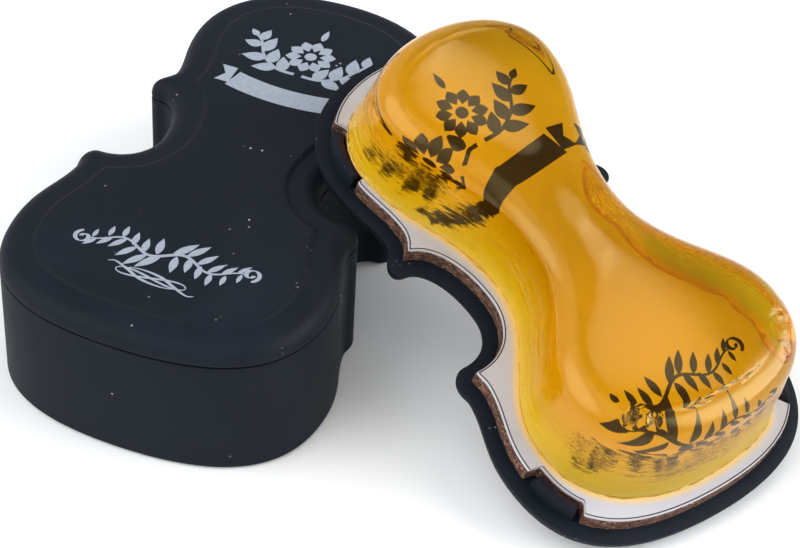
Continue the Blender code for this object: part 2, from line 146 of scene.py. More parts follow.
class Recipe:
    """The node tree of one finish, or of the studio's sky."""

    def __init__(self, owner: bpy.types.Material | bpy.types.World, shader: str, output: str) -> None:
        """Takes up the owner's own node tree.

        Args:
            owner: A new material or world.
            shader: The name of its shader node.
            output: The name of its output node.
        """
        owner.use_nodes = True
        self.owner = owner
        self.tree = owner.node_tree
        self.shader = self.tree.nodes[shader]
        self.output = self.tree.nodes[output]
        self._place: Reading | None = None

    @classmethod
    def for_material(cls, name: str) -> Recipe:
        """Starts an empty material."""
        return cls(bpy.data.materials.new(name), "Principled BSDF", "Material Output")

    @classmethod
    def for_world(cls, name: str) -> Recipe:
        """Starts an empty world."""
        return cls(bpy.data.worlds.new(name), "Background", "World Output")

    def node(self, kind: str, settings: dict[str, Any] | None = None,
             values: dict[Any, Any] | None = None, output: str | int = 0) -> Reading:
        """Adds one node: its settings first, then the values or links of its sockets.

        Args:
            kind: The node's type.
            settings: Its attributes.
            values: Numbers, colours or readings for its input sockets, by name or index.
            output: The output socket to return, by name or index.

        Returns:
            The chosen output.
        """
        made = self.tree.nodes.new(kind)
        for name, value in (settings or {}).items():
            setattr(made, name, value)
        for name, value in (values or {}).items():
            self.feed(made.inputs[name], value)
        return Reading(self, made.outputs[output])

    def feed(self, socket: bpy.types.NodeSocket, value: Any) -> None:
        """Links a reading to a socket, or sets the socket's own value."""
        if isinstance(value, Reading):
            self.tree.links.new(value.socket, socket)
        elif isinstance(value, tuple) and len(value) == 3 and len(socket.default_value) == 4:
            socket.default_value = (*value, 1.0)
        else:
            socket.default_value = value

    def place(self) -> Reading:
        """The point on the piece, in metres of the frame that it was drawn in."""
        if self._place is None:
            settings = {"attribute_name": PLACE}
            self._place = self.node("ShaderNodeAttribute", settings, output="Vector")
        return self._place

    def stretched(self, scale: Triple) -> Reading:
        """The point on the piece, scaled along each axis."""
        values = {0: self.place(), 1: scale}
        return self.node("ShaderNodeVectorMath", {"operation": "MULTIPLY"}, values)

    def grain(self, scale: Triple | float, detail: float = 3.0,
              roughness: float = 0.55, distortion: float = 0.0) -> Reading:
        """Cloudy noise from 0 to 1, about 0.5.

        Args:
            scale: Cycles a metre, along each axis or along all.
            detail: Octaves.
            roughness: How strong the fine octaves are.
            distortion: How far the pattern swirls.

        Returns:
            The noise.
        """
        axes = scale if isinstance(scale, tuple) else (scale, scale, scale)
        values = {"Vector": self.stretched(axes), "Scale": 1.0, "Detail": detail,
                  "Roughness": roughness, "Distortion": distortion}
        return self.node("ShaderNodeTexNoise", None, values, output="Fac")

    def specks(self, scale: float, size: float) -> Reading:
        """Sparse round specks, 1 inside a speck.

        Args:
            scale: Cells a metre.
            size: A speck's radius as a share of its cell.

        Returns:
            The mask.
        """
        values = {"Vector": self.place(), "Scale": scale, "Randomness": 1.0}
        cells = self.node("ShaderNodeTexVoronoi", {"feature": "F1"}, values, output="Distance")
        return cells.within(size, size * 0.7)

    def mix(self, share: Reading | float, first: Any, second: Any) -> Reading:
        """Mixes two colours.

        Args:
            share: How much of the second colour shows.
            first: The first colour.
            second: The second colour.

        Returns:
            The mixed colour.
        """
        values = {"Factor": share, 6: first, 7: second}
        return self.node("ShaderNodeMix", {"data_type": "RGBA"}, values, output=2)

    def attribute(self, name: str) -> Reading:
        """A value that the mesh carries at its points."""
        return self.node("ShaderNodeAttribute", {"attribute_name": name}, output="Fac")

    def bump(self, height: Reading, strength: float, distance: float) -> Reading:
        """A bumped normal.

        Args:
            height: The height, from 0 to 1.
            strength: The share of the bump that shows.
            distance: The height in metres that 1 stands for.

        Returns:
            The normal.
        """
        values = {"Height": height, "Strength": strength, "Distance": distance}
        return self.node("ShaderNodeBump", None, values, output="Normal")

    def lobe(self, direction: Triple, edge: float, core: float) -> Reading:
        """A soft patch of sky, 1 at its core.

        Args:
            direction: Where it lies.
            edge: The cosine of the angle at which it ends.
            core: The cosine of the angle at which it is full.

        Returns:
            The mask.
        """
        aim = tuple(Vector(direction).normalized())
        sky = self.node("ShaderNodeTexCoord", output="Generated")
        facing = self.node("ShaderNodeVectorMath", {"operation": "DOT_PRODUCT"}, {0: sky, 1: aim},
                           output="Value")
        return facing.within(edge, core)

    def finish(self, **sockets: Any) -> bpy.types.Material | bpy.types.World:
        """Feeds the shader's sockets, named with _ for a space, and returns the material or world."""
        for name, value in sockets.items():
            self.feed(self.shader.inputs[name.replace("_", " ")], value)
        return self.owner


# ------------------------------------------------------------------------------------------ finishes
class Finish:
    """A finish that makes its material once."""

    name = "finish"

    def material(self) -> bpy.types.Material:
        """The finish's material, made at its first use."""
        return bpy.data.materials.get(self.name) or self.mix_up(Recipe.for_material(self.name))

    def mix_up(self, recipe: Recipe) -> bpy.types.Material:
        """Builds the material in the recipe."""
        raise NotImplementedError


@dataclass(frozen=True)
class SoftTouchPlastic(Finish):
    """Moulded black plastic with a soft-touch skin: fine grain, faint cloudiness and a little dust.

    The scales are in cycles or cells a metre.
    """

    name: str = "soft_touch_plastic"
    deep: Colour = (0.0058, 0.0088, 0.0140)
    worn: Colour = (0.0078, 0.0114, 0.0175)
    stain: Colour = (0.055, 0.020, 0.013)
    dust: Colour = (0.42, 0.43, 0.46)
    roughness: float = 0.56
    dust_amount: float = 0.015
    cloud_scale: float = 90.0
    skin_scale: float = 5200.0
    skin_height: float = 0.00002
    stain_scale: float = 1500.0
    fleck_scale: float = 900.0
    fine_fleck_scale: float = 2300.0

    def mix_up(self, recipe: Recipe) -> bpy.types.Material:
        """Builds the material in the recipe.

        Args:
            recipe: An empty recipe.

        Returns:
            The material.
        """
        cloud = recipe.grain(self.cloud_scale, 4.0)
        skin = recipe.grain(self.skin_scale, 2.0)
        base = recipe.mix(cloud.within(0.35, 0.7), self.deep, self.worn)
        stain_and_painted_glow = recipe.attribute("stain") * recipe.grain(self.stain_scale, 4.0).within(0.35, 0.6)
        base = recipe.mix(stain_and_painted_glow, base, self.stain)
        patches = recipe.grain(160.0, 2.0).within(0.62 - self.dust_amount, 0.72)
        flecks = recipe.specks(self.fleck_scale, 0.17) * patches
        fine = recipe.specks(self.fine_fleck_scale, 0.13) * recipe.grain(300.0, 2.0).within(0.6, 0.75)
        base = recipe.mix(flecks + fine * self.dust_amount * 6.0, base, self.dust)
        rough = cloud.within(0.3, 0.7, self.roughness - 0.03, self.roughness + 0.05) + flecks * 0.3
        normal = recipe.bump(skin, 0.35, self.skin_height)
        return recipe.finish(Base_Color=base, Roughness=rough, Normal=normal, Specular_IOR_Level=0.10)


@dataclass(frozen=True)
class FibreBoard(Finish):
    """Dark fibre board with a torn edge: brown-black ground with copper flecks along the layers."""

    name: str = "fibre_board"
    ground: Colour = (0.030, 0.014, 0.010)
    fibre: Colour = (0.20, 0.095, 0.060)
    fleck: Colour = (0.56, 0.34, 0.24)
    layer_scale: Triple = (900.0, 900.0, 2600.0)
    tuft_scale: float = 2400.0
    relief: float = 0.00012

    def mix_up(self, recipe: Recipe) -> bpy.types.Material:
        """Builds the material in the recipe.

        Args:
            recipe: An empty recipe.

        Returns:
            The material.
        """
        layers = recipe.grain(self.layer_scale, 5.0, 0.7)
        tufts = recipe.grain(self.tuft_scale, 4.0, 0.7)
        base = recipe.mix(layers.within(0.40, 0.66), self.ground, self.fibre)
        base = recipe.mix(tufts.within(0.56, 0.70), base, self.fleck)
        normal = recipe.bump(layers + tufts, 0.9, self.relief)
        return recipe.finish(Base_Color=base, Roughness=0.82, Normal=normal, Specular_IOR_Level=0.3)


@dataclass(frozen=True)
class CardFinish(Finish):
    """A smooth card surface with a faint fibre."""

    fibre_scale: float = 3000.0
    fibre_height: float = 0.00003

    def surfaced(self, recipe: Recipe, base: Reading) -> bpy.types.Material:
        """Puts the fibre under a colour.

        Args:
            recipe: The recipe.
            base: The colour.

        Returns:
            The material.
        """
        fibre = recipe.grain(self.fibre_scale, 3.0)
        rough = fibre.within(0.3, 0.7, 0.42, 0.55)
        normal = recipe.bump(fibre, 0.3, self.fibre_height)
        return recipe.finish(Base_Color=base, Roughness=rough, Normal=normal)


@dataclass(frozen=True)
class CoatedCard(CardFinish):
    """White coated card with a warmer tone in places."""

    name: str = "coated_card"
    white: Colour = (0.46, 0.46, 0.50)
    warm: Colour = (0.43, 0.405, 0.40)
    tone_scale: float = 70.0

    def mix_up(self, recipe: Recipe) -> bpy.types.Material:
        """Builds the material in the recipe.

        Args:
            recipe: An empty recipe.

        Returns:
            The material.
        """
        tone = recipe.grain(self.tone_scale, 3.0)
        return self.surfaced(recipe, recipe.mix(tone.within(0.4, 0.75), self.white, self.warm))


@dataclass(frozen=True)
class PaintedLightUnderCake(CardFinish):
    """Painted light on the card under the cake: the card there is painted bright, and a painted yellow glow
    round the foot stands in for the light that the rosin throws.
    """

    name: str = "card_primer"
    # painted light: white paints the card under the cake twice as bright as the card round it, and the
    # yellow colour below paints the glow that the rosin throws round its foot
    white: Colour = (0.92, 0.92, 0.92)
    stain_and_painted_glow: Colour = (0.74, 0.50, 0.13)
    card: Colour = (0.46, 0.455, 0.49)

    def mix_up(self, recipe: Recipe) -> bpy.types.Material:
        """Builds the material in the recipe.

        Args:
            recipe: An empty recipe.

        Returns:
            The material.
        """
        # painted light: the glow value says where the card is painted bright and where the yellow glow is
        # painted
        glow = recipe.attribute("glow")
        rim = recipe.mix(glow.within(0.0, 0.9), self.card, self.stain_and_painted_glow)
        return self.surfaced(recipe, recipe.mix(glow > 0.999, rim, self.white))


@dataclass(frozen=True)
class PrintInk(Finish):
    """Screen-printed ink: one tone with a faint grain."""

    name: str = "silver_ink"
    tone: Colour = (0.29, 0.325, 0.39)
    roughness: float = 0.45
    grain_scale: float = 2600.0
    grain_height: float = 0.00002

    def mix_up(self, recipe: Recipe) -> bpy.types.Material:
        """Builds the material in the recipe.

        Args:
            recipe: An empty recipe.

        Returns:
            The material.
        """
        grain = recipe.grain(self.grain_scale, 3.0)
        thin = tuple(channel * 0.86 for channel in self.tone)
        base = recipe.mix(grain.within(0.35, 0.65), thin, self.tone)
        rough = grain.within(0.3, 0.7, self.roughness - 0.05, self.roughness + 0.05)
        normal = recipe.bump(grain, 0.2, self.grain_height)
        return recipe.finish(Base_Color=base, Roughness=rough, Normal=normal)


@dataclass(frozen=True)
class ClearRosin(Finish):
    """Cast rosin: clear amber, glossy on top, with a dusty film, rippled sides and dull chips."""

    name: str = "clear_rosin"
    skin: Colour = (1.0, 0.95, 0.42)
    absorbed: Colour = (0.972, 0.910, 0.0)
    density: float = 400.0
    index: float = 1.54
    glint: Colour = (1.0, 0.84, 0.44)
    long_wave_scale: Triple = (260.0, 260.0, 1700.0)
    fine_wave_scale: Triple = (700.0, 700.0, 3600.0)
    wave_height: float = 0.00026
    film_scale: float = 420.0

    def mix_up(self, recipe: Recipe) -> bpy.types.Material:
        """Builds the material in the recipe.

        Args:
            recipe: An empty recipe.

        Returns:
            The material.
        """
        long_waves = recipe.grain(self.long_wave_scale, 2.0, 0.5, 0.4)
        fine_waves = recipe.grain(self.fine_wave_scale, 2.0, 0.5)
        ripple = (long_waves * 0.7 + fine_waves * 0.3) * recipe.attribute("side")
        normal = recipe.bump(ripple, 1.0, self.wave_height)
        film = recipe.grain(self.film_scale, 4.0)
        chip = recipe.attribute("chip")
        rough = film.within(0.35, 0.75, 0.01, 0.04) + chip.within(0.1, 0.6) * 0.3
        settings = {"Color": self.absorbed, "Density": self.density}
        volume = recipe.node("ShaderNodeVolumeAbsorption", None, settings)
        recipe.feed(recipe.output.inputs["Volume"], volume)
        return recipe.finish(Base_Color=self.skin, Roughness=rough, Normal=normal,
                             Transmission_Weight=1.0, IOR=self.index, Specular_Tint=self.glint)


@dataclass(frozen=True)
class StudioPaper(Finish):
    """The pale paper that the objects stand on."""

    name: str = "studio_paper"
    tone: Colour = (0.90, 0.90, 0.90)
    fibre_scale: float = 900.0

    def mix_up(self, recipe: Recipe) -> bpy.types.Material:
        """Builds the material in the recipe.

        Args:
            recipe: An empty recipe.

        Returns:
            The material.
        """
        fibre = recipe.grain(self.fibre_scale, 3.0)
        shade = tuple(channel * 0.985 for channel in self.tone)
        return recipe.finish(Base_Color=recipe.mix(fibre, shade, self.tone), Roughness=0.9,
                             Specular_IOR_Level=0.1)


# ------------------------------------------------------------------------------------------ outlines
@dataclass(frozen=True)
class Bend:
    """One cubic curve of an outline: where it ends, its two headings in degrees and its two pulls."""

    end: tuple[float, float]
    headings: tuple[float, float]
    pulls: tuple[float, float]

    def points(self, start: np.ndarray, steps: int) -> np.ndarray:
        """Points along the curve, without its start.

        Args:
            start: Where the curve starts.
            steps: How many points to give.

        Returns:
            The points, one a row.
        """
        end = np.array(self.end)
        chord = float(np.linalg.norm(end - start))
        out, into = (np.array([math.cos(math.radians(angle)), math.sin(math.radians(angle))])
                     for angle in self.headings)
        first = start + out * chord * self.pulls[0]
        second = end - into * chord * self.pulls[1]
        t = np.linspace(0.0, 1.0, steps + 1)[1:, None]
        s = 1.0 - t
        return start * s ** 3 + first * 3 * s * s * t + second * 3 * s * t * t + end * t ** 3


class Outline:
    """A closed plan outline, the same on both sides of its long axis, with evenly spaced points."""

    BEND_STEPS = 80

    def __init__(self, start_y: float, bends: Sequence[Bend], spacing: float) -> None:
        """Draws the outline.

        Args:
            start_y: Where the outline crosses its axis at the lower end.
            bends: The curves of its right half, from the lower end to the upper end.
            spacing: The distance between its points.
        """
        dense = [np.array([[0.0, start_y]])]
        for bend in bends:
            dense.append(bend.points(dense[-1][-1], self.BEND_STEPS))
        line = np.vstack(dense)
        run = np.concatenate([[0.0], np.cumsum(np.linalg.norm(np.diff(line, axis=0), axis=1))])
        count = int(round(run[-1] / spacing))
        at = np.linspace(0.0, run[-1], count + 1)
        half = np.column_stack([np.interp(at, run, line[:, axis]) for axis in (0, 1)])
        half[0, 0] = half[-1, 0] = 0.0
        self.half_count = count
        self.points = np.vstack([half, half[-2:0:-1] * (-1.0, 1.0)])

    def distances(self, points: np.ndarray) -> np.ndarray:
        """The distance of each point to the outline."""
        starts = self.points
        edges = np.roll(starts, -1, axis=0) - starts
        gaps = []
        for block in np.array_split(points, max(1, len(points) // 400)):
            offset = block[:, None, :] - starts
            along = np.clip((offset * edges).sum(2) / (edges ** 2).sum(1), 0.0, 1.0)
            gaps.append(np.sqrt(((offset - along[..., None] * edges) ** 2).sum(2)).min(1))
        return np.concatenate(gaps)

    def normals(self) -> np.ndarray:
        """The direction into the outline at each of its points."""
        ahead = np.roll(self.points, -1, axis=0) - self.points
        behind = self.points - np.roll(self.points, 1, axis=0)
        ahead /= np.linalg.norm(ahead, axis=1)[:, None]
        behind /= np.linalg.norm(behind, axis=1)[:, None]
        along = ahead + behind
        along /= np.linalg.norm(along, axis=1)[:, None]
        return np.column_stack([-along[:, 1], along[:, 0]])

    def inset(self, depth: float | np.ndarray) -> np.ndarray:
        """The outline moved inwards. Points that fold at a corner move to the corner that is left.

        Args:
            depth: How far, for all points or for each.

        Returns:
            As many points as the outline has.
        """
        depths = np.broadcast_to(np.asarray(depth, float), (len(self.points),))
        moved = self.points + self.normals() * depths[:, None]
        clear = self.distances(moved) >= np.abs(depths) * 0.985 - 1e-6
        anchors = np.flatnonzero(clear)
        for this, following in zip(anchors, np.append(anchors[1:], anchors[0] + len(moved))):
            if following - this > 1:
                folded = np.arange(this + 1, following) % len(moved)
                moved[folded] = (moved[this] + moved[following % len(moved)]) / 2
        return moved


@dataclass(frozen=True)
class CaseSizes:
    """The plan sizes that the deep body and both lids share."""

    length: float = 0.080
    lower_bout: tuple[float, float] = (0.0461, -0.0230)
    upper_bout: tuple[float, float] = (0.0376, 0.0250)
    waist: tuple[float, float] = (0.0248, -0.0008)
    lower_corner: tuple[float, float] = (0.0416, -0.0091)
    lower_corner_round: tuple[float, float] = (0.0023, 0.002484)
    lower_neck: tuple[float, float] = (0.0410, -0.0109)
    upper_corner: tuple[float, float] = (0.0380, 0.0103)
    upper_corner_round: tuple[float, float] = (0.0019, 0.001653)
    upper_neck: tuple[float, float] = (0.0343, 0.0140)
    spacing: float = 0.00045

    def outline(self) -> Outline:
        """The outline of the case."""
        def at(size: tuple[float, float]) -> tuple[float, float]:
            """The point at a width and a y."""
            return size[0] / 2, size[1]

        lower_in = (self.lower_corner[0] / 2 - self.lower_corner_round[0],
                    self.lower_corner[1] + self.lower_corner_round[1])
        upper_in = (self.upper_corner[0] / 2 - self.upper_corner_round[0],
                    self.upper_corner[1] - self.upper_corner_round[1])
        bends = (Bend(at(self.lower_bout), (0, 90), (0.57, 0.39)),
                 Bend(at(self.lower_neck), (90, 95), (0.43, 0.35)),
                 Bend(at(self.lower_corner), (78, 90), (0.40, 0.40)),
                 Bend(lower_in, (90, 180), (0.39, 0.39)),
                 Bend(at(self.waist), (180, 90), (0.54, 0.26)),
                 Bend(upper_in, (90, 0), (0.53, 0.23)),
                 Bend(at(self.upper_corner), (0, 90), (0.42, 0.42)),
                 Bend(at(self.upper_neck), (90, 90), (0.38, 0.35)),
                 Bend(at(self.upper_bout), (90, 90), (0.30, 0.45)),
                 Bend((0.0, self.length / 2), (90, 180), (0.37, 0.48)))
        return Outline(-self.length / 2, bends, self.spacing)


@dataclass(frozen=True)
class StackSizes:
    """Heights and insets of a lid and of what it carries, in the stack frame."""

    body_height: float = 0.0184
    body_wall: float = 0.0017
    body_floor: float = 0.0014
    lid_thickness: float = 0.0028
    edge_radius: float = 0.0025
    panel_inset: float = 0.0042
    panel_rise: float = 0.0004
    panel_slope: float = 0.0009
    pocket_inset: float = 0.0050
    pocket_depth: float = 0.0012
    tab_height: float = 0.0023
    tab_thickness: float = 0.0015
    tab_spans: tuple[tuple[float, float], ...] = ((-0.0330, -0.0248), (0.0236, 0.0332))
    board_top: float = 0.0020
    card_top: float = 0.0024
    card_margin: float = 0.0002
    notch_clearance: float = 0.0004
    notch_ramp: float = 0.0005

    @property
    def face(self) -> float:
        """The height of the lid's printed panel."""
        return -self.lid_thickness - self.panel_rise


# ------------------------------------------------------------------------------------------- meshes
class Shaper:
    """Turns rings of points into pieces of the model."""

    @staticmethod
    def ring(loop: np.ndarray, height: float | np.ndarray) -> np.ndarray:
        """Lifts a plan loop to a height, or to one height for each point."""
        return np.column_stack([loop, np.broadcast_to(np.asarray(height, float), (len(loop),))])

    @staticmethod
    def loft(rings: Sequence[np.ndarray], capped: bool = True) -> tuple[np.ndarray, Faces]:
        """Skins rings that have the same number of points.

        Args:
            rings: The rings, in order.
            capped: Whether the first and the last ring are closed with flat faces.

        Returns:
            The points and the faces.
        """
        count = len(rings[0])
        faces: Faces = []
        for row in range(len(rings) - 1):
            faces += Shaper.strip(row * count, (row + 1) * count, count)
        if capped:
            faces.append(tuple(range(count))[::-1])
            faces.append(tuple(range((len(rings) - 1) * count, len(rings) * count)))
        return np.vstack(rings), faces

    @staticmethod
    def strip(low: int, high: int, count: int) -> Faces:
        """The faces between two rings, from the numbers of their first points."""
        faces = []
        for index in range(count):
            following = (index + 1) % count
            faces.append((low + index, low + following, high + following, high + index))
        return faces

    @staticmethod
    def piece(name: str, points: np.ndarray, faces: Sequence[tuple[int, ...]], finish: Finish,
              values: dict[str, np.ndarray] | None = None, sharp: float = 40.0,
              closed: bool = True) -> bpy.types.Object:
        """Makes one object.

        Args:
            name: Its name.
            points: Its points.
            faces: Its faces, as point indices.
            finish: Its finish.
            values: Numbers that its points carry, by name.
            sharp: The angle in degrees above which an edge is sharp.
            closed: Whether folded points are merged and faces turned outwards.

        Returns:
            The object.
        """
        data = bpy.data.meshes.new(name)
        data.from_pydata(points.tolist(), [], faces)
        for label, numbers in (values or {}).items():
            made = data.attributes.new(label, "FLOAT", "POINT")
            made.data.foreach_set("value", np.asarray(numbers, np.float32))
        if closed:
            work = bmesh.new()
            work.from_mesh(data)
            bmesh.ops.remove_doubles(work, verts=work.verts, dist=MERGE)
            bmesh.ops.recalc_face_normals(work, faces=work.faces)
            work.to_mesh(data)
            work.free()
        data.materials.append(finish.material())
        data.shade_smooth()
        data.set_sharp_from_angle(angle=math.radians(sharp))
        made_object = bpy.data.objects.new(name, data)
        bpy.context.scene.collection.objects.link(made_object)
        return made_object

    @staticmethod
    def keep_places(data: bpy.types.Mesh) -> None:
        """Stores each point's place, so that a finish stays on a piece wherever it is moved."""
        spots = np.empty(len(data.vertices) * 3, np.float32)
        data.vertices.foreach_get("co", spots)
        data.attributes.new(PLACE, "FLOAT_VECTOR", "POINT").data.foreach_set("vector", spots)

    @staticmethod
    def rounded(centre: tuple[float, float], radius: float, start: float, end: float,
                steps: int) -> list[tuple[float, float]]:
        """Insets and heights round an edge.

        Args:
            centre: The inset and height of its middle.
            radius: Its radius.
            start: The first angle in degrees; 0 points to less inset, 90 up.
            end: The last angle.
            steps: How many pieces it has.

        Returns:
            One (inset, height) for each station.
        """
        stations = []
        for angle in np.radians(np.linspace(start, end, steps + 1)):
            stations.append((centre[0] - radius * math.cos(angle),
                             centre[1] + radius * math.sin(angle)))
        return stations


# ------------------------------------------------------------------------------------------ artwork
class Artwork:
    """Flat printed shapes in plan: strokes that swell and taper, leaves, and outlines."""

    LIFT = 0.000003  # the step in height between shapes that may overlap
    LIFTS = 7        # after this many steps the heights start again
    LEAF_STEPS = 15

    def __init__(self) -> None:
        """Starts with no shapes."""
        self.points: list[tuple[float, float]] = []
        self.lifts: list[float] = []
        self.faces: Faces = []

    def _next_lift(self) -> float:
        """A height for the next shape, so that shapes that overlap don't share a plane."""
        return (len(self.faces) % self.LIFTS) * self.LIFT

    def fill(self, outline: Sequence[tuple[float, float]]) -> None:
        """Adds one filled outline."""
        first = len(self.points)
        self.lifts += [self._next_lift()] * len(outline)
        self.points += [(float(x), float(y)) for x, y in outline]
        self.faces.append(tuple(range(first, len(self.points))))

    def stroke(self, line: np.ndarray, widths: np.ndarray) -> None:
        """Adds a stroke along a line.

        Args:
            line: The points of its middle.
            widths: Its width at each point.
        """
        along = np.gradient(line, axis=0)
        along /= np.maximum(np.linalg.norm(along, axis=1), 1e-12)[:, None]
        side = np.column_stack([-along[:, 1], along[:, 0]]) * widths[:, None] / 2
        first, lift = len(self.points), self._next_lift()
        for step, (left, right) in enumerate(zip(line + side, line - side)):
            self.points += [tuple(left), tuple(right)]
            self.lifts += [lift + self.LIFT * step / len(line)] * 2
        for step in range(len(line) - 1):
            at = first + 2 * step
            self.faces.append((at, at + 1, at + 3, at + 2))

    def leaf(self, root: tuple[float, float], tip: tuple[float, float], width: float,
             belly: float = 0.4) -> None:
        """Adds one pointed leaf.

        Args:
            root: Where it grows.
            tip: Where it ends.
            width: Its greatest width.
            belly: Where it is widest, as a share of its length.
        """
        start, end = np.array(root), np.array(tip)
        axis = end - start
        across = np.array([-axis[1], axis[0]]) / np.linalg.norm(axis)
        share = np.linspace(0.0, 1.0, self.LEAF_STEPS)
        power = math.log(0.5) / math.log(belly)
        swell = np.sin(np.pi * share ** power) * width / 2
        left = start + axis * share[:, None] + across * swell[:, None]
        right = start + axis * share[:, None] - across * swell[:, None]
        self.fill([tuple(point) for point in np.vstack([left, right[-2:0:-1]])])

    def turned(self, centre: tuple[float, float]) -> None:
        """Repeats everything drawn so far, turned half round about a centre."""
        self._repeat(lambda x, y: (2 * centre[0] - x, 2 * centre[1] - y), False)

    def mirrored(self) -> None:
        """Repeats everything drawn so far on the other side of the long axis."""
        self._repeat(lambda x, y: (-x, y), True)

    def _repeat(self, change: Callable[[float, float], tuple[float, float]], flip: bool) -> None:
        """Adds a changed copy of every shape."""
        count = len(self.points)
        self.lifts += [lift + self.LIFT / 3 for lift in self.lifts]
        self.points += [change(x, y) for x, y in self.points]
        for face in list(self.faces):
            moved = tuple(index + count for index in face)
            self.faces.append(moved[::-1] if flip else moved)

    def facing(self, plan: np.ndarray, upwards: bool) -> Faces:
        """The faces, all turned to one side.

        Args:
            plan: The points as they are used.
            upwards: Whether they face +z.

        Returns:
            The faces.
        """
        turned = []
        for face in self.faces:
            x, y = plan[list(face), 0], plan[list(face), 1]
            area = float(np.sum(x * np.roll(y, -1) - np.roll(x, -1) * y))
            turned.append(face if (area > 0) == upwards else face[::-1])
        return turned

    def merge(self, other: Artwork) -> None:
        """Adds another artwork's shapes."""
        count = len(self.points)
        self.lifts += other.lifts
        self.points += other.points
        self.faces += [tuple(index + count for index in face) for face in other.faces]


def smooth_line(stations: Sequence[tuple[float, float]], steps: int = 14) -> np.ndarray:
    """A smooth line through stations.

    Args:
        stations: The points that it passes through.
        steps: The pieces between two of them.

    Returns:
        Its points.
    """
    spots = np.array([stations[0], *stations, stations[-1]], float)
    line = []
    for a, b, c, d in zip(spots, spots[1:], spots[2:], spots[3:]):
        for t in np.linspace(0.0, 1.0, steps, endpoint=False):
            line.append(0.5 * (2 * b + (c - a) * t + (2 * a - 5 * b + 4 * c - d) * t * t
                               + (3 * b - a - 3 * c + d) * t ** 3))
    return np.vstack([line, spots[-1]])


@dataclass(frozen=True)
class LidOrnament:
    """The printed ornament of a lid: a leaf spray round a rosette, a plain band and a garland.

    The fields are in metres. Stations and leaves are in millimetres.
    """

    spray_y: float = 0.0240
    band_y: float = 0.0143
    band_half: float = 0.0082
    band_height: float = 0.0036
    band_sag: float = 0.0011
    garland_y: float = -0.0244
    garland_half: float = 0.0112
    garland_wave: float = 0.0009
    garland_turns: float = 2.6
    garland_leaves: int = 6
    curl_degrees: float = 430.0
    petals: int = 10
    flourish_y: float = -0.0293

    def spray(self) -> Artwork:
        """The leaf spray with its rosette and finial."""
        art = Artwork()
        stem = smooth_line([(0.6, -5.2), (3.4, -5.0), (6.2, -3.0), (8.0, 0.2), (9.6, 1.6)]) * MILLIMETRE
        stem[:, 1] += self.spray_y
        art.stroke(stem, np.linspace(0.0006, 0.0003, len(stem)))
        leaves = (((2.4, -5.2), (3.6, -2.0), 1.9), ((3.6, -4.8), (7.0, -6.0), 1.9),
                  ((4.9, -4.2), (5.0, -0.6), 2.0), ((5.8, -3.4), (9.4, -3.9), 2.0),
                  ((6.9, -2.0), (6.2, 1.8), 2.0), ((7.6, -0.8), (10.4, -0.6), 1.7),
                  ((8.2, 0.4), (7.8, 3.2), 1.6), ((9.0, 1.2), (10.5, 2.4), 1.1))
        for root, tip, width in leaves:
            start, end = (tuple(np.array(spot) * MILLIMETRE + (0.0, self.spray_y)) for spot in (root, tip))
            art.leaf(start, end, width * MILLIMETRE)
        art.mirrored()
        middle = np.array([0.0, self.spray_y - 0.0004])
        for petal in range(self.petals):
            angle = 2 * math.pi * petal / self.petals
            away = np.array([math.sin(angle), math.cos(angle)])
            art.leaf(tuple(middle + away * 0.0013), tuple(middle + away * 0.0037), 0.0017, 0.55)
        turn = np.linspace(0.0, 2 * np.pi, 33)[:-1]
        art.fill(list(zip(middle[0] + np.sin(turn) * 0.0009, middle[1] + np.cos(turn) * 0.0009)))
        art.leaf((0.0, middle[1] + 0.0042), (0.0, middle[1] + 0.0070), 0.0010, 0.4)
        return art

    def band(self) -> Artwork:
        """The plain curved band with notched ends."""
        art = Artwork()
        share = np.linspace(-1.0, 1.0, 33)
        sag = self.band_y - self.band_sag * (1.0 - share ** 2)
        middle = np.column_stack([share * self.band_half, sag])
        art.stroke(middle, np.full(len(share), self.band_height))
        x, y, rise = self.band_half, self.band_y + 0.0006, self.band_height / 2
        tail = [(x + 0.0002, y - rise), (x + 0.0024, y - rise), (x + 0.0014, y), (x + 0.0026, y + rise),
                (x + 0.0002, y + rise)]
        art.fill(tail)
        art.fill([(-out, up) for out, up in reversed(tail)])
        return art

    def garland(self) -> Artwork:
        """The slanted leaf garland on a waved stem, with a curl at each end."""
        art = Artwork()
        share = np.linspace(0.0, 1.0, 60)
        half, wave, turns = self.garland_half, self.garland_wave, self.garland_turns
        stem = np.column_stack([share * half, wave * np.sin(share * turns * np.pi)])
        art.stroke(stem + (0.0, self.garland_y), 0.00052 - 0.0003 * share)
        for order in range(self.garland_leaves):
            x = 0.0006 + 0.00185 * order
            y = self.garland_y + wave * math.sin(x / half * turns * math.pi)
            long = 1.0 - 0.09 * order
            art.leaf((x, y), (x + 0.0024 * long, y + 0.0034 * long), 0.00125 * long, 0.45)
            art.leaf((x + 0.0007, y), (x + 0.0012 * long, y - 0.0033 * long), 0.00115 * long, 0.45)
        turn = np.linspace(0.0, 1.0, 40)
        angle = -1.2 + turn * math.radians(self.curl_degrees)
        radius = 0.0013 - 0.0010 * turn
        curl = np.column_stack([0.0117 + radius * np.cos(angle), 0.0011 + radius * np.sin(angle)])
        art.stroke(curl + (0.0, self.garland_y), 0.00016 + 0.00045 * np.abs(np.cos(angle)))
        art.turned((0.0, self.garland_y))
        return art

    def flourish(self) -> Artwork:
        """The thin knot of loops under the garland."""
        art = Artwork()
        turn = np.linspace(0.0, 2 * np.pi, 97)
        wide = np.column_stack([0.0050 * np.sin(turn), 0.00062 * np.sin(2 * turn)])
        middle = (0.0, self.flourish_y)
        art.stroke(wide + middle, 0.00026 + 0.0001 * np.cos(2 * turn))
        arm = smooth_line([(-6.6, 0.9), (-5.6, 1.2), (-3.6, 0.4), (-1.2, -0.7), (1.6, -1.05), (3.4, -0.8)])
        swell = 0.00014 + 0.0003 * np.sin(np.linspace(0, np.pi, len(arm))) ** 2
        art.stroke(arm * MILLIMETRE + middle, swell)
        art.turned((0.0, self.flourish_y))
        return art

